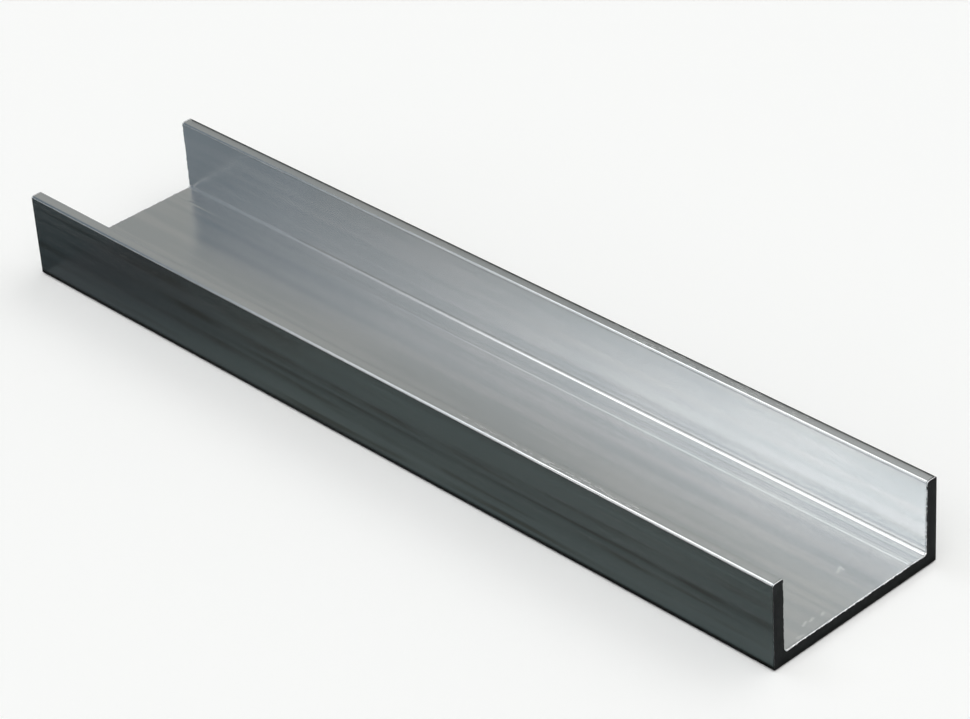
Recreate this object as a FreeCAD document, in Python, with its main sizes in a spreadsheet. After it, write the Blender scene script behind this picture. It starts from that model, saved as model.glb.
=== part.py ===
import FreeCAD, Part
import math
import os
import Sketcher

# Channel section: one straight piece of extruded aluminium stock with a U-shaped section, sawn square at both ends.
# It lies on the flat back of its web with the two flanges standing up, so the trough is open at the top.
# Millimetres. +X runs across the section, +Y along the stock and +Z up through the open side.
# The origin is under the middle of the web, halfway along the stock.

# Driving dimensions. The opening in the extrusion die sets all but the last, which is where the saw cuts.
SIZES = {
    "section_width": 63.5,
    "flange_height": 27.0,
    "web_thickness": 4.0,
    "flange_thickness": 4.0,
    "root_radius": 1.0,
    "tip_radius": 0.8,
    "arris_radius": 0.3,
    "cut_length": 300.0,
}

# A sketch numbers the two ends of a line or arc from 1 up, and its own origin and vertical axis from -1 down.
START, END = range(1, 3)
ORIGIN, VERTICAL_AXIS = range(-1, -3, -1)

# How the outline turns at a corner when it is followed anticlockwise: left round the metal, right into a root.
LEFT, RIGHT = 1, -1


def make_sheet(doc):
    sheet = doc.addObject("Spreadsheet::Sheet", "sizes")
    for row, (word, value) in enumerate(SIZES.items(), start=1):
        sheet.set(f"A{row}", word)
        sheet.set(f"B{row}", str(value))
        sheet.setAlias(f"B{row}", word)
    doc.recompute()
    return sheet


def outline_corners(sheet):
    """Square corners of the U as (x, z, word for the corner's radius, turn), anticlockwise from the left arris."""
    outer = sheet.section_width / 2
    inner = outer - sheet.flange_thickness
    face = sheet.web_thickness
    tip = sheet.flange_height
    return [
        (-outer, 0.0, "arris_radius", LEFT),
        (outer, 0.0, "arris_radius", LEFT),
        (outer, tip, "tip_radius", LEFT),
        (inner, tip, "tip_radius", LEFT),
        (inner, face, "root_radius", RIGHT),
        (-inner, face, "root_radius", RIGHT),
        (-inner, tip, "tip_radius", LEFT),
        (-outer, tip, "tip_radius", LEFT),
    ]


def direction(corner, following):
    """Unit vector in the sketch from one corner to the next."""
    step = FreeCAD.Vector(following[0] - corner[0], following[1] - corner[1], 0)
    return step.normalize()


def draw_sides(sketch, sheet, corners):
    """One straight side from each corner to the next, stopping short by each corner's radius."""
    sides = []
    for corner, following in zip(corners, corners[1:] + corners[:1]):
        along = direction(corner, following)
        start = FreeCAD.Vector(corner[0], corner[1], 0) + along * sheet.get(corner[2])
        end = FreeCAD.Vector(following[0], following[1], 0) - along * sheet.get(following[2])
        sides.append(sketch.addGeometry(Part.LineSegment(start, end)))
    return sides


def draw_rounds(sketch, sheet, corners, sides):
    """One quarter circle at each corner, tangent to the side before it and the side after it.

    An arc in a sketch always runs anticlockwise, so at a root, where the outline turns right, the arc starts on the
    side after the corner and ends on the side before it.
    """
    rounds = []
    for i, (x, z, word, turn) in enumerate(corners):
        radius = sheet.get(word)
        arriving = direction(corners[i - 1], corners[i])
        leaving = direction(corners[i], corners[(i + 1) % len(corners)])
        centre = FreeCAD.Vector(x, z, 0) + (leaving - arriving) * radius
        before = (sides[i - 1], END)
        after = (sides[i], START)
        if turn == LEFT:
            opening = math.atan2(-leaving.y, -leaving.x)
            tangents = (before, after)
        else:
            opening = math.atan2(arriving.y, arriving.x)
            tangents = (after, before)
        circle = Part.Circle(centre, FreeCAD.Vector(0, 0, 1), radius)
        arc = sketch.addGeometry(Part.ArcOfCircle(circle, opening, opening + math.pi / 2))
        sketch.addConstraint(Sketcher.Constraint("Tangent", arc, START, *tangents[0]))
        sketch.addConstraint(Sketcher.Constraint("Tangent", arc, END, *tangents[1]))
        rounds.append(arc)
    return rounds


def bind(sketch, name, word, *constraint):
    """Adds a dimension to the sketch, names it and ties it to a cell of the sheet."""
    index = sketch.addConstraint(Sketcher.Constraint(*constraint))
    sketch.renameConstraint(index, name)
    sketch.setExpression(f"Constraints.{name}", f"sizes.{word}")


def draw_die_profile(body, sheet):
    """The section as the die cuts it, fully constrained, on the plane across the stock at its middle."""
    sketch = body.newObject("Sketcher::SketchObject", "die_profile")
    plane = next(plane for plane in body.Origin.OriginFeatures if plane.Role == "XZ_Plane")
    sketch.AttachmentSupport = [(plane, "")]
    sketch.MapMode = "FlatFace"

    corners = outline_corners(sheet)
    sides = draw_sides(sketch, sheet, corners)
    rounds = draw_rounds(sketch, sheet, corners, sides)
    back, right_outside, right_tip, right_inside, face, left_inside, left_tip, left_outside = sides

    for upright in (right_outside, right_inside, left_inside, left_outside):
        sketch.addConstraint(Sketcher.Constraint("Vertical", upright))
    for level in (right_tip, left_tip):
        sketch.addConstraint(Sketcher.Constraint("Horizontal", level))

    # The back and the face of the web are centred on the vertical axis, and the two tips are level with each other.
    for centred in (back, face):
        sketch.addConstraint(
            Sketcher.Constraint("Symmetric", centred, START, centred, END, VERTICAL_AXIS)
        )
    sketch.addConstraint(Sketcher.Constraint("Horizontal", right_tip, START, left_tip, END))
    sketch.addConstraint(Sketcher.Constraint("PointOnObject", back, START, ORIGIN))

    # Corners of one kind share one radius.
    first_of_kind = {}
    for (_, _, word, _), arc in zip(corners, rounds):
        if word in first_of_kind:
            sketch.addConstraint(Sketcher.Constraint("Equal", first_of_kind[word], arc))
        else:
            first_of_kind[word] = arc
            bind(sketch, word, word, "Radius", arc, sheet.get(word))

    bind(sketch, "across_flanges", "section_width",
         "DistanceX", left_outside, START, right_outside, START, sheet.section_width)
    bind(sketch, "back_to_tips", "flange_height",
         "DistanceY", ORIGIN, START, right_tip, START, sheet.flange_height)
    bind(sketch, "web", "web_thickness",
         "DistanceY", ORIGIN, START, face, START, sheet.web_thickness)
    bind(sketch, "flange", "flange_thickness",
         "DistanceX", right_inside, START, right_outside, START, sheet.flange_thickness)
    return sketch


def make_channel(doc, sheet):
    """The channel's one body: the die profile drawn out both ways along the stock to the two saw cuts."""
    body = doc.addObject("PartDesign::Body", "channel")
    body.Label = "channel_section"
    sketch = draw_die_profile(body, sheet)
    doc.recompute()

    stock = body.newObject("PartDesign::Pad", "sawn_stock")
    stock.Profile = sketch
    stock.Type = "Length"
    stock.SideType = "Symmetric"
    stock.setExpression("Length", "sizes.cut_length")
    sketch.Visibility = False
    doc.recompute()
    return body, sketch


def check(doc, body, sketch):
    """Stops the build unless the sketch is fully held, everything recomputed and the metal is one sound solid."""
    failed = [thing.Label for thing in doc.Objects if "Invalid" in thing.State or "Error" in thing.State]
    if failed:
        raise RuntimeError(f"failed to recompute: {failed}")
    if not sketch.FullyConstrained:
        raise RuntimeError("the die profile is not fully constrained")
    shape = body.Shape
    if shape.isNull() or not shape.isValid() or len(shape.Solids) != 1:
        raise RuntimeError(f"{body.Label} is not one sound solid")


def section_area(sheet):
    """Area of the die opening: the web and the two flanges, plus or minus the corner left by each radius."""
    spandrel = 1 - math.pi / 4
    square_u = (
        sheet.section_width * sheet.web_thickness
        + 2 * (sheet.flange_height - sheet.web_thickness) * sheet.flange_thickness
    )
    corner_metal = sum(-turn * spandrel * sheet.get(word) ** 2 for _, _, word, turn in outline_corners(sheet))
    return square_u + corner_metal


doc = FreeCAD.newDocument("channel_section")
sheet = make_sheet(doc)
body, sketch = make_channel(doc, sheet)
check(doc, body, sketch)

os.makedirs("parts", exist_ok=True)
body.Shape.exportStep(f"parts/{body.Label}.step")

box = body.Shape.BoundBox
print(f"{body.Label}: {box.XLength:.2f} x {box.YLength:.2f} x {box.ZLength:.2f} mm")
print(f"volume {body.Shape.Volume:.1f} mm3, die area times length {section_area(sheet) * sheet.cut_length:.1f} mm3")
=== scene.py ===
# %% [markdown]
# # A sawn length of aluminium channel
#
# The object is one straight piece of extruded channel: a web with two flanges, mill finish, sawn at
# both ends. Its sizes come from a CAD model, which is loaded first and is never moved. Everything
# after that is about how the metal looks: the shape of its edges, the lines that the die leaves
# along it, the marks of the saw, and the light.

# %% Load the CAD frame
import math

import bpy
import numpy as np
from mathutils import Matrix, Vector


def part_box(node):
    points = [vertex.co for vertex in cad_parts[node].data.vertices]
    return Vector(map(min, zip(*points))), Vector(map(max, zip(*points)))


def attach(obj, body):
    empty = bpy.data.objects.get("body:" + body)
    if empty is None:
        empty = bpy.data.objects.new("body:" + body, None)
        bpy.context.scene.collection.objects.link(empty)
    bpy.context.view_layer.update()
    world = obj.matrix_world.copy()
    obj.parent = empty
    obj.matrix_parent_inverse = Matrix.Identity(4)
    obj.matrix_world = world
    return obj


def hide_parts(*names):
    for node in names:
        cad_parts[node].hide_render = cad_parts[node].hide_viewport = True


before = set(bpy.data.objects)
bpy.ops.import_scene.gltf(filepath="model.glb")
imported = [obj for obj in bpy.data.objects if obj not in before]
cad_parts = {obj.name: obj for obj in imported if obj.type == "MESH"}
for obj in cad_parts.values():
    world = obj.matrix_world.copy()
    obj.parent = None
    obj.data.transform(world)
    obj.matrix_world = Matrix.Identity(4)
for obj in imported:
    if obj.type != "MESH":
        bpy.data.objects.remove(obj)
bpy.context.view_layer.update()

MM = 0.001
NODE = "channel_section"
low, high = (np.array(corner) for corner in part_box(NODE))
WIDTH, LENGTH, HEIGHT = high - low
print(f"channel {WIDTH / MM:.1f} x {LENGTH / MM:.1f} x {HEIGHT / MM:.1f} mm")

# %% [markdown]
# ## The section
#
# An extrusion is a section carried along a straight line, so the section is where its shape is
# decided. It could be drawn as one closed loop, but the sawn ends need a clean grid of faces
# between its outside and its inside. So it is drawn as two chains of points that run side by side
# from the left flange's tip, round the web, to the right flange's tip. Each chain has the same
# stretches: tip corner, flange, corner, web, corner, flange, tip corner.

# %% Sizes of the section
# The wall and the radii are the CAD model's.
WALL = 4.0 * MM
ROOT_RADIUS = 1.0 * MM
TIP_RADIUS = 0.8 * MM
ARRIS_RADIUS = 0.3 * MM

OUTER_X = WIDTH / 2
INNER_X = OUTER_X - WALL


def mirrored(corners):
    """The left half's corners, then the same corners on the right."""
    return np.array(corners + [(-x, z) for x, z in reversed(corners)])


outer_corners = mirrored([(-OUTER_X + WALL / 2, HEIGHT), (-OUTER_X, HEIGHT), (-OUTER_X, 0.0)])
inner_corners = mirrored([(-INNER_X - WALL / 2, HEIGHT), (-INNER_X, HEIGHT), (-INNER_X, WALL)])
OUTER_RADII = (TIP_RADIUS, ARRIS_RADIUS, ARRIS_RADIUS, TIP_RADIUS)
INNER_RADII = (TIP_RADIUS, ROOT_RADIUS, ROOT_RADIUS, TIP_RADIUS)
print("outer corners in mm", (outer_corners / MM).round(2).tolist())

# %% [markdown]
# A chain is sampled at chosen shares of each stretch, the same shares on the outside and the
# inside, so that point 200 of one chain always lies across the wall from point 200 of the other.
# Steps of 0.3 mm are enough for the flats. The boldest die lines lie on the right of the web, so
# the steps are 0.1 mm there.

# %% Shares of each stretch
ARC_STEPS = 10
STEP = 0.3 * MM
FINE_STEP = 0.1 * MM
FINE_FROM = 8.0 * MM


def shares(length):
    """Even steps from 0 to 1, about one step apart on a stretch of that length."""
    return np.linspace(0.0, 1.0, round(length / STEP) + 1)


coarse = shares(WIDTH)
fine = np.arange(1.0 - FINE_FROM / WIDTH, 1.0 - STEP / WIDTH, FINE_STEP / WIDTH)
WEB = np.concatenate([coarse[coarse < fine[0]], fine, [1.0]])
ARC = np.linspace(0.0, 1.0, ARC_STEPS + 1)
FLANGE = shares(HEIGHT)
FLATS = (FLANGE, WEB, FLANGE)
print(len(FLANGE), "points on a flange,", len(WEB), "on the web")

# %% [markdown]
# One function walks along either chain. It needs no loop over points: each stretch is one array,
# and the arrays are joined end to end.

# %% Walk along a chain
def chain(corners, radii, side):
    """Points and outward normals along a path with rounded corners.

    A corner arc starts one radius before the corner and ends one radius after it: with a the
    direction of arrival, b the direction of leaving and c the arc's centre, its point at angle q is
    c + r (a sin q - b cos q). A straight is the line between two arcs. The normal is the direction
    of travel turned a quarter to the given side.
    """
    steps = np.diff(corners, axis=0)
    directions = steps / np.linalg.norm(steps, axis=1)[:, None]
    points, travel = [], []
    for k, radius in enumerate(radii):
        corner, arrive, leave = corners[k + 1], directions[k], directions[k + 1]
        if k:
            begin = points[-1][-1]
            finish = corner - radius * arrive
            share = FLATS[k - 1][1:, None]
            points.append(begin + share * (finish - begin))
            travel.append(np.repeat(arrive[None], len(share), axis=0))
        angle = (ARC if k == 0 else ARC[1:])[:, None] * math.pi / 2
        centre = corner - radius * arrive + radius * leave
        points.append(centre + radius * (arrive * np.sin(angle) - leave * np.cos(angle)))
        travel.append(arrive * np.cos(angle) + leave * np.sin(angle))
    points, travel = np.concatenate(points), np.concatenate(travel)
    return points, side * np.stack([travel[:, 1], -travel[:, 0]], axis=1)


outer, outer_normals = chain(outer_corners, OUTER_RADII, side=1)
inner, inner_normals = chain(inner_corners, INNER_RADII, side=-1)
ACROSS = len(outer)
print(ACROSS, "points outside and", len(inner), "inside")

# %% [markdown]
# The closed loop goes down the left flange and along the back on the outer chain, across the right
# tip, back along the inner chain, and across the left tip. Its running length is kept too, because
# the die lines and the grain of the finish are placed by it.

# %% Close the loop
TIP_STEPS = 8
tip_share = (np.arange(1, TIP_STEPS) / TIP_STEPS)[:, None]
right_tip = outer[-1] + tip_share * (inner[-1] - outer[-1])
left_tip = inner[0] + tip_share * (outer[0] - inner[0])
up = np.repeat([[0.0, 1.0]], TIP_STEPS - 1, axis=0)

loop = np.concatenate([outer, right_tip, inner[::-1], left_tip])
loop_normals = np.concatenate([outer_normals, up, inner_normals[::-1], up])
ROUND = len(loop)
INSIDE = ACROSS + TIP_STEPS - 1
around = np.concatenate([[0.0], np.cumsum(np.linalg.norm(np.diff(loop, axis=0), axis=1))])
perimeter = around[-1] + np.linalg.norm(loop[0] - loop[-1])
print(f"{ROUND} points round the section, {perimeter / MM:.1f} mm")

# %% [markdown]
# ## What the die leaves
#
# Hot metal is pushed through a steel die, and each nick in the die's edge draws a line along the
# whole length. Most lines are a few hundredths of a millimetre high or less, and the boldest here
# is a tenth. They could all be left to a bump pattern, but the larger ones catch the light as real
# edges do, so they are shaped into the surface. The flats are not dead flat either: the metal
# leaves the press with slow waves across it, which bend every reflection a little.

# %% Die lines and waves
SKIN = 0.06 * MM
DIE_SEED = 63

# The lines that show most, on the web's face: distance from the right flange, half width and
# height, in millimetres.
BOLD_LINES = ((6.2, 0.33, 0.110), (4.65, 0.22, 0.014), (3.7, 0.20, 0.006), (2.75, 0.40, 0.022))
BOLD_WANDER = 0.12

# Small nicks and slow waves are drawn at random: how many, the bounds of their width or length and
# of their height in millimetres, and how much the height or the phase wanders along the stock.
NICKS, NICK_WIDTHS, NICK_HEIGHTS, NICK_WANDER = 34, (0.35, 0.8), (-0.003, 0.002), 0.6
PLANE_WAVES, WAVE_LENGTHS, WAVE_HEIGHTS, WAVE_BEND = 7, (9, 26), (0.0015, 0.003), 1.5


def nearest(x, z):
    """The running length of the inner chain's point that lies nearest to a place on the section."""
    inside = slice(INSIDE, INSIDE + ACROSS)
    return around[inside][np.argmin(np.hypot(loop[inside, 0] - x, loop[inside, 1] - z))]


def drift(along, phases):
    """A slow wander between -1 and 1 along the stock: the mean of three sines."""
    lengths = (310 * MM, 137 * MM, 71 * MM)
    return sum(np.sin(2 * math.pi * along / w + p) for w, p in zip(lengths, phases)) / len(lengths)


def relief(s, y):
    """How far the lines and waves push the skin out, in metres.

    The place is s round the loop and y along the stock. A line is a Gaussian across s times its
    height, and the height wanders along y. The bold lines stand up and the small nicks go either
    way. A wave is a sine across s, and it wanders along y too.
    """
    draw = np.random.default_rng(DIE_SEED)
    total = np.zeros(np.broadcast(s, y).shape)
    for distance, width, height in BOLD_LINES:
        place = nearest(INNER_X - distance * MM, WALL)
        wander = 1 + BOLD_WANDER * drift(y, draw.uniform(0, 2 * math.pi, 3))
        total += height * MM * wander * np.exp(-(((s - place) / (width * MM)) ** 2))
    for _ in range(NICKS):
        place, width = draw.uniform(0, perimeter), draw.uniform(*NICK_WIDTHS) * MM
        height = draw.uniform(*NICK_HEIGHTS) * MM
        wander = 1 + NICK_WANDER * drift(y, draw.uniform(0, 2 * math.pi, 3))
        total += height * wander * np.exp(-(((s - place) / width) ** 2))
    for _ in range(PLANE_WAVES):
        length, height = draw.uniform(*WAVE_LENGTHS) * MM, draw.uniform(*WAVE_HEIGHTS) * MM
        bend = WAVE_BEND * drift(y, draw.uniform(0, 2 * math.pi, 3))
        total += height * np.sin(2 * math.pi * s / length + bend + draw.uniform(0, 2 * math.pi))
    return total


print(len(BOLD_LINES), "bold lines,", NICKS, "nicks and", PLANE_WAVES, "waves")

# %% [markdown]
# ## The sawn ends
#
# A circular saw leaves a flat face with faint arcs, and it pushes a fine burr over the edges on the
# side where its teeth come out. The burr is under a tenth of a millimetre high, and it is uneven,
# so it glints in short dashes. The stations along the stock are close together near the ends, so
# that the burr and the broken edge have faces to live on.

# %% Stations along the stock
EDGE_BREAK = 0.08 * MM
BURR_REACH = 0.4 * MM
BURR_HEIGHT = 0.08 * MM
BURR_LIP = 0.18 * MM
LIP_DROP = 4.0
BURR_SEED = 5
BURR_WAVES = np.array([0.9, 1.7, 3.1, 7.3, 12.9]) * MM
BURR_MEAN, BURR_SWING, BURR_LEAST, BURR_MOST = 0.6, 0.3, 0.25, 1.3
MIDDLE_STATIONS = 60
near_end = np.array([0.0, 0.08, 0.18, 0.3, 0.45, 0.65, 0.9, 1.4, 2.6, 5.0]) * MM
middle = np.linspace(near_end[-1], LENGTH - near_end[-1], MIDDLE_STATIONS)[1:-1]
stations = np.concatenate([near_end, middle, LENGTH - near_end[::-1]]) - LENGTH / 2
print(len(stations), "stations")


def burr(s, from_cut):
    """Height of the burr: a rolled lip that slopes down to the cut and dies out along the stock.

    It is a wide Gaussian of the distance from the cut, less a steeper one that is four times as
    high, so it lies below the skin at the cut itself. Round the loop its size is a sum of sines of
    short wavelengths, kept between two bounds, so it comes in dashes.
    """
    draw = np.random.default_rng(BURR_SEED)
    ragged = sum(np.sin(2 * math.pi * s / w + draw.uniform(0, 2 * math.pi)) for w in BURR_WAVES)
    size = np.clip(BURR_MEAN + BURR_SWING * ragged, BURR_LEAST, BURR_MOST)
    lip = np.exp(-((from_cut / BURR_REACH) ** 2)) - LIP_DROP * np.exp(-((from_cut / BURR_LIP) ** 2))
    return BURR_HEIGHT * size * lip


# %% [markdown]
# The skin is the loop pushed along its normals. It lies inside the drawn section by the depth SKIN,
# which leaves room for the lines and waves. In the trough the boldest line still rises up to 0.064
# mm above the drawn face, and nothing stands outside the CAD model's box. The burr grows on the
# trough's side alone, where there is room for it, and it stops short of the tips. Right at the cut
# the same side dips up to 0.38 mm below the drawn face.

# %% Shape the skin
s_grid, y_grid = around[None, :], stations[:, None]
from_cut = LENGTH / 2 - np.abs(y_grid)
in_trough = np.zeros(ROUND)
in_trough[INSIDE : INSIDE + ACROSS] = 1.0
in_trough *= np.clip((HEIGHT - TIP_RADIUS - loop[:, 1]) / TIP_RADIUS, 0, 1)

offset = relief(s_grid, y_grid) - SKIN + burr(s_grid, from_cut) * in_trough
offset -= np.clip(EDGE_BREAK - from_cut, 0, None) * (in_trough == 0)
offset = np.where(in_trough > 0, offset, np.minimum(offset, 0.0))

skin = np.empty((len(stations), ROUND, 3))
skin[..., 0] = loop[:, 0] + offset * loop_normals[:, 0]
skin[..., 1] = y_grid
skin[..., 2] = loop[:, 1] + offset * loop_normals[:, 1]
print("skin offset from", (offset.min() / MM).round(3), "to", (offset.max() / MM).round(3), "mm")

# %% [markdown]
# Each sawn face is a grid between the outer chain and the inner chain. Its rim uses the skin's own
# points, so the two meet with no seam, and its inner points carry the saw's arcs. Real tooth marks
# are a few tenths of a millimetre apart, too fine for the render, so they are drawn about a
# millimetre apart.

# %% Shape the sawn faces
BLADE_CENTRE = np.array([60.0, -120.0]) * MM
TOOTH_ARCS = 1.1 * MM
WANDER_ARCS = 3.7 * MM
WANDER_SHARE = 0.4
KERF_DEPTH = 0.03 * MM


def sawn_face(row, inward, first_new):
    """Inner points of one sawn face, and its grid of point indices.

    A point is a share of the way across the wall from an outer point to the inner point opposite.
    It is pushed into the metal by two sines of its distance from the blade's centre, which lies
    well outside the section.
    """
    base = row * ROUND
    outside = base + np.arange(ACROSS)
    inside = base + INSIDE + np.arange(ACROSS)[::-1]
    right = base + ACROSS + np.arange(TIP_STEPS - 1)
    left = base + INSIDE + ACROSS + np.arange(TIP_STEPS - 1)[::-1]

    flat = skin.reshape(-1, 3)
    share = (np.arange(1, TIP_STEPS) / TIP_STEPS)[:, None, None]
    points = (flat[outside] + share * (flat[inside] - flat[outside]))[:, 1:-1]
    reach = np.hypot(points[..., 0] - BLADE_CENTRE[0], points[..., 2] - BLADE_CENTRE[1])
    turns = 2 * math.pi * reach
    wave = 0.5 + 0.5 * np.sin(turns / TOOTH_ARCS) + WANDER_SHARE * np.sin(turns / WANDER_ARCS)
    points[..., 1] += inward * KERF_DEPTH * np.clip(wave, 0, None)

    new = first_new + np.arange(points.shape[0] * points.shape[1]).reshape(points.shape[:2])
    middle = np.concatenate([left[:, None], new, right[:, None]], axis=1)
    return points.reshape(-1, 3), np.concatenate([outside[None], middle, inside[None]])


def quads(grid):
    """Faces between neighbouring rows and columns of a grid of point indices."""
    corners = [grid[:-1, :-1], grid[:-1, 1:], grid[1:, 1:], grid[1:, :-1]]
    return np.stack(corners, axis=-1).reshape(-1, 4)


# %% [markdown]
# The pattern of the finish follows the section round and the stock along, so the piece has its own
# UV map in metres: u is the running length round the section and v the place along the stock. On
# the sawn faces u and v are the face's own x and z. The skin's grid is closed by repeating its
# first column, and there u is the whole perimeter, so that the pattern doesn't run backwards across
# the last column of faces.

# %% Faces and UVs
ring = np.arange(skin.shape[0] * ROUND).reshape(skin.shape[:2])
closed = np.concatenate([ring, ring[:, :1]], axis=1)
u_closed = np.append(around, perimeter)
uv_closed = np.broadcast_arrays(u_closed[None, :], stations[:, None])
uv_closed = np.stack(uv_closed, axis=-1).reshape(-1, 2)

skin_faces = quads(closed)[:, ::-1]
skin_uvs = uv_closed[quads(np.arange(closed.size).reshape(closed.shape))[:, ::-1]]

front_points, front_grid = sawn_face(0, 1, ring.size)
back_points, back_grid = sawn_face(len(stations) - 1, -1, ring.size + len(front_points))
sawn_faces = np.concatenate([quads(front_grid), quads(back_grid)[:, ::-1]])

vertices = np.concatenate([skin.reshape(-1, 3), front_points, back_points])
faces = np.concatenate([skin_faces, sawn_faces])
uvs = np.concatenate([skin_uvs, vertices[sawn_faces][..., [0, 2]]])
is_sawn = np.arange(len(faces)) >= len(skin_faces)
print(len(vertices), "points,", len(faces), "faces")

# %% [markdown]
# Blender takes the arrays as they are. The object itself stays at the origin, because its place is
# in its mesh, and it stands in for the CAD model's one node.

# %% Make the piece
mesh = bpy.data.meshes.new("channel_dressed")
mesh.from_pydata(vertices.tolist(), [], faces.tolist())
mesh.polygons.foreach_set("material_index", is_sawn.astype(np.int32))
mesh.polygons.foreach_set("use_smooth", np.ones(len(faces), dtype=bool))
mesh.uv_layers.new(name="along_the_stock").data.foreach_set("uv", uvs.astype(np.float32).ravel())
mesh.update()

channel = bpy.data.objects.new("channel_dressed", mesh)
bpy.context.scene.collection.objects.link(channel)
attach(channel, "root")
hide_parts(NODE)
print(channel.name, "has", len(mesh.polygons), "faces")

# %% [markdown]
# The skin and the sawn faces are both smooth, so the edge between them is marked sharp, or the
# shading would roll over it like a worn step.

# %% Sharp edges at the cuts
edge_points = np.empty(2 * len(mesh.edges), dtype=np.int32)
mesh.edges.foreach_get("vertices", edge_points)
edge_points = edge_points.reshape(-1, 2)
sharp = np.isin(edge_points, ring[0]).all(axis=1) | np.isin(edge_points, ring[-1]).all(axis=1)
mesh.edges.foreach_set("use_edge_sharp", sharp)
print(sharp.sum(), "sharp edges")

# %% [markdown]
# ## Finishes
#
# Colours are written as sRGB hex, as a colour picker shows them, and one function turns them to the
# linear values that the shader wants.

# %% Colours
def linear(hex_colour, times=1.0):
    """sRGB hex to linear RGBA, times a level.

    Each channel c is c / 12.92 when small, and else ((c + 0.055) / 1.055) to the power 2.4.
    """
    srgb = np.array([int(hex_colour[i : i + 2], 16) for i in (1, 3, 5)]) / 255
    rgb = np.where(srgb <= 0.04045, srgb / 12.92, ((srgb + 0.055) / 1.055) ** 2.4)
    return (*(times * rgb).tolist(), 1.0)


print("mid grey #808080 is", round(linear("#808080")[0], 3), "in linear light")

# %% [markdown]
# A material is a tree of nodes, and one function adds any of them. Three kinds come up most: Math
# joins two values, Mix blends two colours by a factor, and Map Range makes a soft step, which is
# low up to one value, high from another on, and an S-curve between. Their settings are named once.

# %% Nodes
PLUS, MINUS, TIMES = {"operation": "ADD"}, {"operation": "SUBTRACT"}, {"operation": "MULTIPLY"}
LARGER, SIZE_OF = {"operation": "MAXIMUM"}, {"operation": "ABSOLUTE"}
COLOURS, SOFT = {"data_type": "RGBA"}, {"interpolation_type": "SMOOTHSTEP"}


def add(tree, kind, inputs=(), **settings):
    """Adds one shader node and gives back its first output in use.

    Settings are its properties. Inputs are values to set or sockets to link: a dict names the
    node's inputs, and a tuple fills those in use, from the first on.
    """
    node = tree.nodes.new(f"ShaderNode{kind}")
    for name, value in settings.items():
        setattr(node, name, value)
    if isinstance(inputs, dict):
        pairs = [(node.inputs[name], value) for name, value in inputs.items()]
    else:
        pairs = zip([socket for socket in node.inputs if socket.enabled], inputs)
    for socket, value in pairs:
        if isinstance(value, bpy.types.NodeSocket):
            tree.links.new(value, socket)
        else:
            socket.default_value = value
    return next((socket for socket in node.outputs if socket.enabled), None)


def new_material(name):
    """An empty material and its tree."""
    material = bpy.data.materials.new(name)
    material.use_nodes = True
    material.node_tree.nodes.clear()
    return material, material.node_tree


# %% [markdown]
# ### Mill finish
#
# Mill-finish aluminium is bare 6063 alloy as it left the press: a pale grey metal with a satin
# shine, never polished. The eye sees soft, stretched reflections, faint bands along the stock where
# the die ran hotter or drier, and a grain that is only just there. The bands are more a matter of
# roughness than of colour: a rougher band scatters the light of the sky into a dark reflection, so
# bands show best on the dark outer faces, as they do on real stock.
#
# All of it runs along the stock, so one kind of noise does it, drawn out on the piece's own UV map.
# The real grain is under a tenth of a millimetre wide, too fine for the render, so it is drawn 0.45 mm
# wide.

# %% Noise along the stock
# Nearly all of a noise's values lie in the middle of its range, so soft steps are set there.
NOISE_SPAN, WIDE_SPAN = (0.35, 0.65), (0.3, 0.7)


def streaks(tree, uv, across_mm, along_mm, detail, shift):
    """Noise from 0 to 1 whose grains are so many millimetres across and along the stock."""
    scale = (1 / (across_mm * MM), 1 / (along_mm * MM), 1.0)
    placed = add(tree, "Mapping", {"Vector": uv, "Location": (shift, shift, 0.0), "Scale": scale})
    return add(tree, "TexNoise", {"Vector": placed, "Scale": 1.0, "Detail": detail},
               noise_dimensions="2D")


# %% [markdown]
# The outside slid over the table that the hot stock runs out on, and thin warm stains are left
# there. They could be even stripes, but real ones come and go, so a second and wider noise thins
# them out.

# %% Stains on the outside
STAIN_GAP = 1.2 * MM
STAIN_FADE = 1.0 * MM
STAIN_SIZE, BLOTCH_SIZE = (2.6, 120), (9.0, 35)
STAIN_SPAN, BLOTCH_LEAST = (0.42, 0.72), 0.2

# Running lengths where the stained part of the outside starts and ends, below the tips' rounds.
stained_from = TIP_RADIUS * math.pi / 2 + STAIN_GAP
stained_to = float(around[ACROSS - 1]) - stained_from
print(f"stained from {stained_from / MM:.1f} to {stained_to / MM:.1f} mm round the section")


def outer_skin(tree, place):
    """1 on the outside, from just below one tip to just below the other, and 0 elsewhere."""
    u = place["X"]
    after_start = add(tree, "MapRange", (u, stained_from, stained_from + STAIN_FADE), **SOFT)
    before_end = add(tree, "MapRange", (u, stained_to, stained_to - STAIN_FADE), **SOFT)
    return add(tree, "Math", (after_start, before_end), **TIMES)


def stains(tree, uv, outside):
    """Strength of the stains, from 0 to 1."""
    thin = streaks(tree, uv, *STAIN_SIZE, detail=1.5, shift=11.0)
    thin = add(tree, "MapRange", (thin, *STAIN_SPAN), **SOFT)
    blotches = streaks(tree, uv, *BLOTCH_SIZE, detail=1.5, shift=17.0)
    blotches = add(tree, "MapRange", (blotches, *NOISE_SPAN, BLOTCH_LEAST, 1.0), **SOFT)
    blotched = add(tree, "Math", (thin, blotches), **TIMES)
    return add(tree, "Math", (outside, blotched), **TIMES)


# %% [markdown]
# Handling leaves short pale scratches on the web near the front cut. Each one has its own place, so
# it is drawn by its distance from a line and not by a noise. A real scratch is a tenth of a
# millimetre wide, and these are drawn wider, or the render would lose them.

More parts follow.
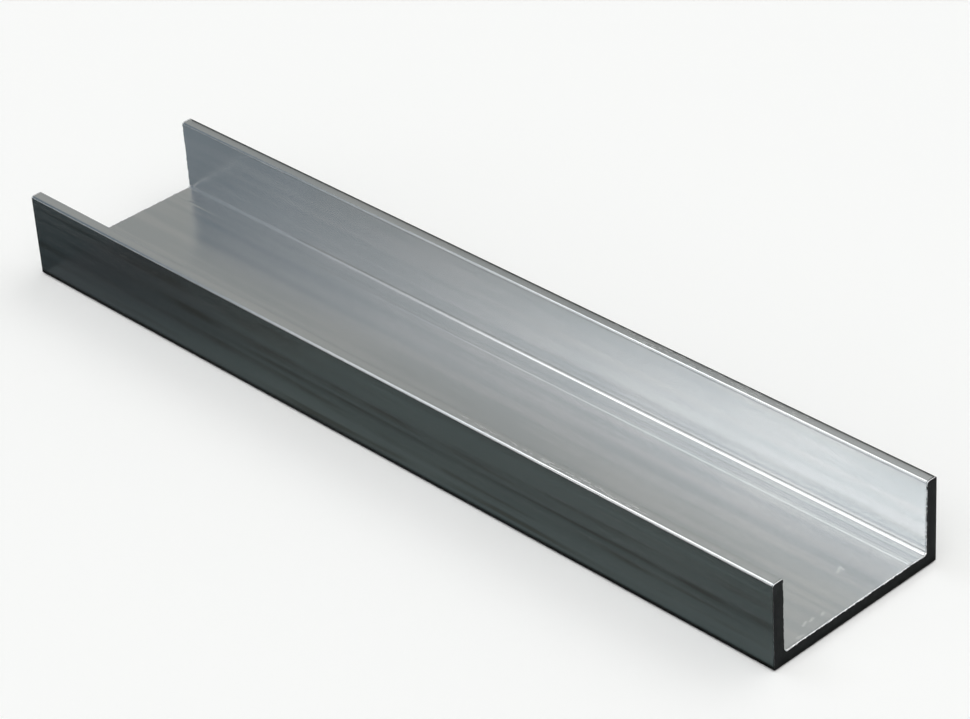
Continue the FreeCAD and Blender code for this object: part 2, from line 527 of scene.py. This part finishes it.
# %% Scuffs
# Where each scratch starts and ends, x and y in millimetres from the middle of the cut.
SCUFFS = (((-16.6, 3.7), (-14.9, 4.3)), ((-13.8, 3.6), (-12.3, 4.1)), ((-9.9, 3.2), (-8.9, 3.6)),
          ((6.6, 12.2), (8.9, 13.3)), ((8.9, 13.3), (8.6, 11.9)), ((-21.5, 1.4), (-19.8, 1.1)))
SCUFF_WIDTH = 0.7 * MM
print(len(SCUFFS), "scuffs")


def scuff(tree, uv, start, end):
    """1 on a short scratch and 0 beyond its width.

    It goes by the distance to the nearest point of the line between the scratch's two ends.
    """
    ends = np.array([[nearest(x * MM, WALL), y * MM - LENGTH / 2, 0.0] for x, y in (start, end)])
    span = np.linalg.norm(ends[1] - ends[0])
    way = (ends[1] - ends[0]) / span
    begin, way = ends[0].tolist(), way.tolist()
    offset = add(tree, "VectorMath", (uv, begin), operation="SUBTRACT")
    along = add(tree, "VectorMath", (offset, way), operation="DOT_PRODUCT")
    along = add(tree, "Clamp", (along, 0.0, float(span)))
    foot = add(tree, "VectorMath", (way, along), operation="SCALE")
    gap = add(tree, "VectorMath", (offset, foot), operation="DISTANCE")
    return add(tree, "MapRange", (gap, SCUFF_WIDTH, 0.0), **SOFT)


def all_scuffs(tree, uv):
    """The strongest scratch at each place."""
    scratched = 0.0
    for start, end in SCUFFS:
        scratched = add(tree, "Math", (scuff(tree, uv, start, end), scratched), **LARGER)
    return scratched


# %% [markdown]
# Lengths that slide over one another touch at their tips, so each tip has a stripe of pale strokes,
# strongest about 6 to 10 cm from the front cut. The left tip is rubbed nearer to its outer edge.

# %% Rubbed tips
RUB_WIDTH = 1.7 * MM
RUB_OUTWARD = 0.7 * MM
PATCH_SIZE, STROKE_SIZE = (1.2, 9.0), (0.5, 3.5)
PATCH_LEAST = 0.3

# The rubbing comes up from the front cut and dies down beyond: two places, and its share at each.
RUB_COMES = (-120 * MM, -90 * MM, 0.3, 0.8)
RUB_GOES = (-20 * MM, -45 * MM, 0.15, 1.0)

# Running lengths at the middle of each tip's rubbed stripe.
right_rub = float(around[ACROSS - 1] + around[INSIDE]) / 2
left_rub = float(around[INSIDE + ACROSS - 1] + perimeter) / 2 + RUB_OUTWARD
print(f"rubbed stripes at {right_rub / MM:.1f} and {left_rub / MM:.1f} mm round the section")


def rubbed_tips(tree, uv, place):
    """Strength of the rubbing, from 0 to 1: strokes, in patches, in a stripe on each tip."""
    patches = streaks(tree, uv, *PATCH_SIZE, detail=1.0, shift=5.0)
    patches = add(tree, "MapRange", (patches, *NOISE_SPAN, PATCH_LEAST, 1.0), **SOFT)
    strokes = streaks(tree, uv, *STROKE_SIZE, detail=1.0, shift=9.0)
    strokes = add(tree, "MapRange", (strokes, *NOISE_SPAN), **SOFT)
    comes = add(tree, "MapRange", (place["Y"], *RUB_COMES), **SOFT)
    goes = add(tree, "MapRange", (place["Y"], *RUB_GOES), **SOFT)
    worn = add(tree, "Math", (comes, goes), **TIMES)
    strokes = add(tree, "Math", (worn, add(tree, "Math", (patches, strokes), **TIMES)), **TIMES)
    rubbed = 0.0
    for tip in (right_rub, left_rub):
        beside = add(tree, "Math", (place["X"], tip), **MINUS)
        beside = add(tree, "Math", (beside,), **SIZE_OF)
        stripe = add(tree, "MapRange", (beside, RUB_WIDTH, 0.5 * RUB_WIDTH), **SOFT)
        on_tip = add(tree, "Math", (stripe, strokes), **TIMES)
        rubbed = add(tree, "Math", (on_tip, rubbed), **LARGER)
    return rubbed


# %% [markdown]
# Bands and grain swing the roughness, more outside than in the trough, and marks are rougher than
# the skin round them.

# %% Roughness of the skin
MILL_ROUGHNESS = 0.197
TROUGH_SWING, OUTER_SWING = 0.006, 0.028
MARK_ROUGHER, RUB_ROUGHER = 0.15, 0.08
print("mean roughness", MILL_ROUGHNESS)


def mill_roughness(tree, bands, grain, outside, pale, rubbed):
    """The skin's roughness: a mean, plus the swing of bands and grain, plus what the marks add."""
    spread = add(tree, "MapRange", (outside, 0.0, 1.0, TROUGH_SWING, OUTER_SWING), **SOFT)
    bands = add(tree, "MapRange", (bands, *NOISE_SPAN, -1.0, 1.0), **SOFT)
    grain = add(tree, "MapRange", (grain, *WIDE_SPAN, -0.5, 0.5), **SOFT)
    swing = add(tree, "Math", (bands, grain), **PLUS)
    rough = add(tree, "Math", (swing, spread), **TIMES)
    rough = add(tree, "Math", (rough, MILL_ROUGHNESS), **PLUS)
    for marks, rougher in ((pale, MARK_ROUGHER), (rubbed, RUB_ROUGHER)):
        added = add(tree, "Math", (marks, rougher), **TIMES)
        rough = add(tree, "Math", (rough, added), **PLUS)
    return rough


# %% [markdown]
# Within half a millimetre of each cut the skin is torn, which is too small to shape and is left to
# a bump. The grain is a bump as well, under a thousandth of a millimetre deep.

# %% Bumps of the skin
GRAIN_DEPTH, TEAR_DEPTH = 0.0008 * MM, 0.15 * MM
TEAR_STARTS, TEAR_FULL = 0.45 * MM, 0.2 * MM
CRUMB_SIZE = (0.5, 0.5)
print(f"skin torn within {TEAR_STARTS / MM:.2f} mm of each cut")


def mill_bump(tree, uv, place, grain):
    """Shallow grain everywhere, and crumbs where the saw tore the skin."""
    tear = (LENGTH / 2 - TEAR_STARTS, LENGTH / 2 - TEAR_FULL)
    torn = add(tree, "MapRange", (add(tree, "Math", (place["Y"],), **SIZE_OF), *tear), **SOFT)
    crumbs = streaks(tree, uv, *CRUMB_SIZE, detail=1.0, shift=3.0)
    crumbs = add(tree, "Math", (torn, crumbs), **TIMES)
    grained = add(tree, "Bump", {"Height": grain, "Strength": 0.5, "Distance": GRAIN_DEPTH})
    return add(tree, "Bump", {
        "Height": crumbs, "Strength": 1.0, "Distance": TEAR_DEPTH, "Normal": grained})


# %% [markdown]
# The finish puts these together, and marks are paler than the skin round them. The grain is made of
# lines along the stock, so light spreads further across them than along them, which is what
# Anisotropic with a tangent from the UV map gives.

# %% Mill-finish aluminium
COOL_TONE, WARM_TONE = linear("#DCDFE0"), linear("#E5E6E6")
STAIN_COLOUR = linear("#BEB8B3")
MARK_COLOUR, MARK_PALENESS = linear("#FFFFFF"), 0.42
TONE_SPAN = (0.75, 1.25)
ANISOTROPY = 0.8

# Widths across and lengths along the stock, in millimetres.
GRAIN_SIZE, BAND_SIZE, CLOUD_SIZE = (0.45, 140), (3.4, 700), (16, 60)


def mill_finish():
    material, tree = new_material("mill_finish_extruded_6063")
    uv = add(tree, "UVMap", uv_map="along_the_stock")
    place = add(tree, "SeparateXYZ", (uv,)).node.outputs
    grain = streaks(tree, uv, *GRAIN_SIZE, detail=2.0, shift=0.0)
    bands = streaks(tree, uv, *BAND_SIZE, detail=2.0, shift=7.0)
    clouds = streaks(tree, uv, *CLOUD_SIZE, detail=2.0, shift=13.0)
    outside = outer_skin(tree, place)

    # Under the stains and the marks the tone wanders a little, between a cooler and a warmer grey.
    tone = add(tree, "Math", (bands, clouds), **PLUS)
    tone = add(tree, "MapRange", (tone, *TONE_SPAN), **SOFT)
    colour = add(tree, "Mix", (tone, COOL_TONE, WARM_TONE), **COLOURS)
    colour = add(tree, "Mix", (stains(tree, uv, outside), colour, STAIN_COLOUR), **COLOURS)
    rubbed = rubbed_tips(tree, uv, place)
    marks = add(tree, "Math", (rubbed, all_scuffs(tree, uv)), **LARGER)
    pale = add(tree, "Math", (marks, MARK_PALENESS), **TIMES)
    colour = add(tree, "Mix", (pale, colour, MARK_COLOUR), **COLOURS)

    metal = add(tree, "BsdfPrincipled", {
        "Base Color": colour, "Metallic": 1.0, "Anisotropic": ANISOTROPY,
        "Roughness": mill_roughness(tree, bands, grain, outside, pale, rubbed),
        "Normal": mill_bump(tree, uv, place, grain),
        "Tangent": add(tree, "Tangent", direction_type="UV_MAP", uv_map="along_the_stock")})
    add(tree, "OutputMaterial", {"Surface": metal})
    return material


mesh.materials.append(mill_finish())
print(len(mesh.materials[0].node_tree.nodes), "nodes in the mill finish")

# %% [markdown]
# ### Sawn face
#
# The cut is the same metal, torn by the saw's teeth: duller, with arcs and smears across it. The
# arcs are shaped above, so the material adds the smears alone. They have no direction, so it has no
# anisotropy. Real smears are a tenth of a millimetre or two, too fine for the render, and are drawn
# 0.9 mm wide.

# %% Sawn aluminium
SMEAR_SIZE = 0.9 * MM
SMEAR_DEPTH = 0.004 * MM
LEAST_ROUGH, MOST_ROUGH = 0.28, 0.36


def sawn_finish():
    material, tree = new_material("sawn_6063")
    position = add(tree, "TexCoord").node.outputs["Object"]
    smear = add(tree, "TexNoise", {"Vector": position, "Scale": 1 / SMEAR_SIZE, "Detail": 3.0})
    metal = add(tree, "BsdfPrincipled", {
        "Base Color": linear("#C4C7C8"), "Metallic": 1.0,
        "Roughness": add(tree, "MapRange", (smear, *WIDE_SPAN, LEAST_ROUGH, MOST_ROUGH), **SOFT),
        "Normal": add(tree, "Bump", {"Height": smear, "Strength": 0.5, "Distance": SMEAR_DEPTH})})
    add(tree, "OutputMaterial", {"Surface": metal})
    return material


mesh.materials.append(sawn_finish())
print([material.name for material in mesh.materials])

# %% [markdown]
# ## The stage
#
# The floor is a plain pale board. Metal shows what it faces, and this stock faces something dark
# with its outer side and its sawn end, while its trough is bright. A photographer gets that on a
# pale floor with grey and black cards laid round the piece, so cards lie here that only the
# reflections see.

# %% Boards and cards
def board_colour(name, paint):
    """A matt surface with no gloss. Its paint is a colour, or a function of the place."""
    material, tree = new_material(name)
    position = add(tree, "TexCoord").node.outputs["Object"]
    place = add(tree, "SeparateXYZ", (position,)).node.outputs
    colour = paint(tree, place) if callable(paint) else linear(paint)
    surface = add(tree, "BsdfPrincipled", {
        "Base Color": colour, "Roughness": 1.0, "Specular IOR Level": 0.0})
    add(tree, "OutputMaterial", {"Surface": surface})
    return material


def level(x_range, y_range, z):
    """Corners of a level rectangle."""
    (x0, x1), (y0, y1) = x_range, y_range
    return [(x0, y0, z), (x1, y0, z), (x1, y1, z), (x0, y1, z)]


def upright(x, y_range, z_range):
    """Corners of an upright rectangle that stands along the stock."""
    (y0, y1), (z0, z1) = y_range, z_range
    return [(x, y0, z0), (x, y1, z0), (x, y1, z1), (x, y0, z1)]


def board(name, corners, material):
    """A flat sheet that belongs to the stage and not to the object."""
    sheet_mesh = bpy.data.meshes.new(name)
    sheet_mesh.from_pydata(corners, [], [(0, 1, 2, 3)])
    sheet_mesh.materials.append(material)
    sheet = bpy.data.objects.new(name, sheet_mesh)
    bpy.context.scene.collection.objects.link(sheet)
    return sheet


def card(name, corners, material):
    """A board that only the metal's reflections see."""
    sheet = board(name, corners, material)
    sheet.visible_camera = False
    sheet.visible_diffuse = False
    sheet.visible_shadow = False
    sheet.visible_transmission = False


# %% [markdown]
# Four grey cards lie on the floor: one beside the stock, two beyond its far end and one before its
# front cut. The one beside it is painted, because the outer flange mirrors it from the foot up:
# grey, a darker band, a paler band, and black further out. A black pad under the stock is painted
# shade: its reflection draws the dark line along the foot, in place of the contact shadow there.

# %% Floor and grey cards
FLOOR_REACH = 6.0
FLOOR_DROP, CARD_DROP, PAD_DROP = 0.3 * MM, 0.1 * MM, 0.05 * MM
PAD_RIM = 1.3 * MM
NEAR_CUT, FAR_CUT = -LENGTH / 2, LENGTH / 2
CARD_LEFT, CARD_RIGHT, CARD_FRONT, CARD_BACK = -160 * MM, 450 * MM, -500 * MM, 600 * MM

# Distances outward from the left flange, between which the side card's paint changes.
TO_DARKER, TO_PALER, TO_BLACK = (3 * MM, 13 * MM), (15 * MM, 24 * MM), (27 * MM, 29 * MM)
FAR_TONE_FROM = 20 * MM


def side_paint(tree, place):
    """Bands of grey by the distance outward from the left flange, darker towards the far end."""
    outward = add(tree, "Math", (-OUTER_X, place["X"]), **MINUS)
    darker, paler, black, far_tone = (
        add(tree, "MapRange", step, **SOFT)
        for step in ((outward, *TO_DARKER), (outward, *TO_PALER), (outward, *TO_BLACK),
                     (place["Y"], FAR_TONE_FROM, FAR_CUT)))
    near = add(tree, "Mix", (darker, linear("#586160"), linear("#49504F")), **COLOURS)
    near = add(tree, "Mix", (paler, near, linear("#5D6665")), **COLOURS)
    far = add(tree, "Mix", (darker, linear("#4B5153"), linear("#393D3F")), **COLOURS)
    both = add(tree, "Mix", (far_tone, near, far), **COLOURS)
    return add(tree, "Mix", (black, both, linear("#080A0A")), **COLOURS)


whole_floor = (-FLOOR_REACH, FLOOR_REACH)
board("pale_floor", level(whole_floor, whole_floor, -FLOOR_DROP),
      board_colour("pale_floor", "#FEFEFD"))

whole_width = (CARD_LEFT, CARD_RIGHT)
for name, x_range, y_range, paint in (
    ("side_card", whole_width, (NEAR_CUT, FAR_CUT), side_paint),
    ("far_side_card", (CARD_LEFT, -OUTER_X), (FAR_CUT, CARD_BACK), "#373E40"),
    ("back_card", (-OUTER_X, CARD_RIGHT), (FAR_CUT, CARD_BACK), "#7F878D"),
    ("end_card", whole_width, (CARD_FRONT, NEAR_CUT), "#232525"),
):
    card(name, level(x_range, y_range, -CARD_DROP), board_colour(name, paint))

# The foot pad is painted shade: a black sheet under the foot, seen only in reflections, stands in for
# the contact shadow.
pad_x, pad_y = OUTER_X + PAD_RIM, FAR_CUT + PAD_RIM
card("foot_shade_pad", level((-pad_x, pad_x), (-pad_y, pad_y), -PAD_DROP),
     board_colour("foot_shade_pad", "#020202"))
print("one floor, four grey cards and a foot pad")

# %% [markdown]
# A narrow black flag stands close beside the right tip. Only the tip's outer edge mirrors it, as a
# thin dark line.

# %% Rim flag
FLAG_GAP = 0.15 * MM
FLAG_BELOW, FLAG_ABOVE = 0.3 * MM, 1.1 * MM

flag_heights = (HEIGHT - FLAG_BELOW, HEIGHT + FLAG_ABOVE)
card("rim_flag", upright(OUTER_X + FLAG_GAP, (NEAR_CUT, FAR_CUT), flag_heights),
     board_colour("rim_flag", "#050606"))
print(f"flag {(FLAG_BELOW + FLAG_ABOVE) / MM:.1f} mm high")

# %% [markdown]
# One long lamp hangs above the left flange and a little outside of it. It faces the inside of the
# right flange, which is the brightest face of the stock near the front cut. The lamp is dimmer and
# dimmer towards the far cut, and it is soft at its edges.

# %% Long lamp
LAMP_WHITE, LAMP_LEVEL = "#FBFDFF", 2.22
LAMP_X = -OUTER_X - 6 * MM
LAMP_FOOT, LAMP_TOP = 36 * MM, 66 * MM
FOOT_FADE, TOP_FADE = 5 * MM, 10 * MM
LAMP_FADES_FROM, LAMP_END = -75 * MM, 140 * MM


def lamp_material():
    material, tree = new_material("long_lamp")
    position = add(tree, "TexCoord").node.outputs["Object"]
    place = add(tree, "SeparateXYZ", (position,)).node.outputs
    along, foot, top = (add(tree, "MapRange", step, **SOFT) for step in (
        (place["Y"], LAMP_END, LAMP_FADES_FROM),
        (place["Z"], LAMP_FOOT, LAMP_FOOT + FOOT_FADE),
        (place["Z"], LAMP_TOP, LAMP_TOP - TOP_FADE)))
    share = add(tree, "Math", (along, add(tree, "Math", (foot, top), **TIMES)), **TIMES)
    clear = add(tree, "BsdfTransparent")
    glow = add(tree, "Emission", {"Color": linear(LAMP_WHITE, times=LAMP_LEVEL), "Strength": 1.0})
    add(tree, "OutputMaterial", {"Surface": add(tree, "MixShader", (share, clear, glow))})
    return material


card("long_lamp", upright(LAMP_X, (NEAR_CUT, LAMP_END), (LAMP_FOOT, LAMP_TOP)), lamp_material())
print(f"lamp {(LAMP_END - NEAR_CUT) / MM:.0f} mm long")

# %% [markdown]
# ## Light
#
# The light is one even studio, written as a world of soft regions. Direction is read in two ways:
# by its own X, Y and Z, which run from -1 to 1, and by the turn, which is the angle up from the
# right, over the top and down to the left, seen along the stock.

# %% World
world = bpy.data.worlds.new("studio")
bpy.context.scene.world = world
world.use_nodes = True
sky = world.node_tree
sky.nodes.clear()
generated = add(sky, "TexCoord").node.outputs["Generated"]
direction = add(sky, "SeparateXYZ", (generated,)).node.outputs
turn = add(sky, "Math", (direction["Z"], direction["X"]), operation="ARCTAN2")


def from_turn(start, end):
    """A soft step between two turns, in degrees."""
    return add(sky, "MapRange", (turn, math.radians(start), math.radians(end)), **SOFT)


print("the room is a world called", world.name)

# %% [markdown]
# The back of the room is grey: cool on the left, neutral on the right, and a paler grey further
# round to the sides. The left wall has a soft pool of light on it towards the back, and is cool
# grey beyond the pool.

# %% Grey room
WALL_LEVEL, POOL_LEVEL = 0.40, 0.65

# Each pair is where a soft step starts and ends: in the direction's X or Y, or as turns in degrees.
LEFT_TO_RIGHT, BACK_TO_SIDES = (-0.25, 0.25), (0.60, 0.52)
TO_POOL, BEYOND_POOL = (0.605, 0.64), (0.65, 0.69)
ROOM_TO_WALL = (100, 112)

cool, neutral, pale_grey = linear("#68747E"), linear("#9EA09E"), linear("#B5B7B5")
to_right = add(sky, "MapRange", (direction["X"], *LEFT_TO_RIGHT), **SOFT)
to_sides = add(sky, "MapRange", (direction["Y"], *BACK_TO_SIDES), **SOFT)
grey = add(sky, "Mix", (to_right, cool, neutral), **COLOURS)
grey = add(sky, "Mix", (to_sides, grey, pale_grey), **COLOURS)

wall, pool = (linear(LAMP_WHITE, times=times) for times in (WALL_LEVEL, POOL_LEVEL))
to_pool = add(sky, "MapRange", (direction["Y"], *TO_POOL), **SOFT)
beyond_pool = add(sky, "MapRange", (direction["Y"], *BEYOND_POOL), **SOFT)
wall = add(sky, "Mix", (to_pool, wall, pool), **COLOURS)
wall = add(sky, "Mix", (beyond_pool, wall, cool), **COLOURS)
room = add(sky, "Mix", (from_turn(*ROOM_TO_WALL), grey, wall), **COLOURS)
print("left wall at", WALL_LEVEL, "and the pool on it at", POOL_LEVEL)

# %% [markdown]
# Over that lies a sweep of lamps, one overhead and one low on the left. The root fillet and the
# tips mirror it as white lines. It fades out where the pool begins, in the directions that the
# stock mirrors at its middle, so the lines die out half way along.

# %% Sweep of lamps
OVERHEAD_LEVEL, LOW_LEVEL = 2.8, 2.1
OVERHEAD_STARTS, OVERHEAD_ENDS = (78, 94), (108, 120)
LOW_STARTS, LOW_ENDS = (154, 162), (164, 172)
SWEEP_FADE = (0.640, 0.603)

overhead, low_lamp = (linear(LAMP_WHITE, times=times) for times in (OVERHEAD_LEVEL, LOW_LEVEL))
lamps = add(sky, "Mix", (from_turn(*OVERHEAD_ENDS), overhead, room), **COLOURS)
lamps = add(sky, "Mix", (from_turn(*LOW_STARTS), lamps, low_lamp), **COLOURS)
lamps = add(sky, "Mix", (from_turn(*LOW_ENDS), lamps, linear("#141616")), **COLOURS)
before_fade = add(sky, "MapRange", (direction["Y"], *SWEEP_FADE), **SOFT)
lit = add(sky, "Math", (from_turn(*OVERHEAD_STARTS), before_fade), **TIMES)
colour = add(sky, "Mix", (lit, room, lamps), **COLOURS)
print("overhead lamp at", OVERHEAD_LEVEL, "and a low lamp at", LOW_LEVEL)

# %% [markdown]
# The front of the room lights the stock evenly. The camera sees hardly any of it mirrored, but a
# view from behind, from the side or from above does: pale walls, a bright band of lamps over them,
# and a greyer ceiling straight overhead.

# %% Front of the room
FRONT_WALL_LEVEL, BAND_LEVEL, CEILING_LEVEL = 0.70, 1.70, 0.62
TO_BAND, TO_CEILING, TO_FRONT = (0.55, 0.68), (0.85, 0.96), (0.45, 0.15)

front_wall, band = (linear("#FBFBFA", times=times) for times in (FRONT_WALL_LEVEL, BAND_LEVEL))
ceiling = linear("#FBFCFD", times=CEILING_LEVEL)
to_band = add(sky, "MapRange", (direction["Z"], *TO_BAND), **SOFT)
to_ceiling = add(sky, "MapRange", (direction["Z"], *TO_CEILING), **SOFT)
to_front = add(sky, "MapRange", (direction["Y"], *TO_FRONT), **SOFT)
front = add(sky, "Mix", (to_band, front_wall, band), **COLOURS)
front = add(sky, "Mix", (to_ceiling, front, ceiling), **COLOURS)
colour = add(sky, "Mix", (to_front, colour, front), **COLOURS)
background = add(sky, "Background", {"Color": colour, "Strength": 1.0})
add(sky, "OutputWorld", {"Surface": background})
print("front of the room at", FRONT_WALL_LEVEL, BAND_LEVEL, CEILING_LEVEL)

# %% [markdown]
# ## Camera
#
# A long lens, about a metre away, looks down on the near sawn end. Its place was worked out from
# the traced edges of the photograph, as a direction, a distance and a small roll about the point it
# aims at.

# %% Camera
AIM = np.array([8.18, -4.89, 13.5]) * MM
DISTANCE = 0.99484
AZIMUTH = math.radians(41.989)
ELEVATION = math.radians(32.564)
ROLL = math.radians(-4.046)
FOCAL_LENGTH, SENSOR_WIDTH = 130.5, 36.0
CLIP_START = 10 * MM

sideways = np.array([math.cos(AZIMUTH), -math.sin(AZIMUTH), 0.0])
ahead = np.array([math.sin(AZIMUTH), math.cos(AZIMUTH), 0.0]) * math.cos(ELEVATION)
ahead[2] = -math.sin(ELEVATION)
right = sideways * math.cos(ROLL) + np.cross(sideways, ahead) * math.sin(ROLL)
pose = np.eye(4)
pose[:3, :3] = np.stack([right, np.cross(right, ahead), -ahead], axis=1)
pose[:3, 3] = AIM - DISTANCE * ahead

lens = bpy.data.cameras.new("camera")
lens.lens = FOCAL_LENGTH
lens.sensor_width = SENSOR_WIDTH
lens.clip_start = CLIP_START
camera = bpy.data.objects.new("camera", lens)
bpy.context.scene.collection.objects.link(camera)
camera.matrix_world = Matrix(pose)
bpy.context.scene.camera = camera
bpy.context.scene.view_settings.view_transform = "Standard"
print("camera at", pose[:3, 3].round(4).tolist())
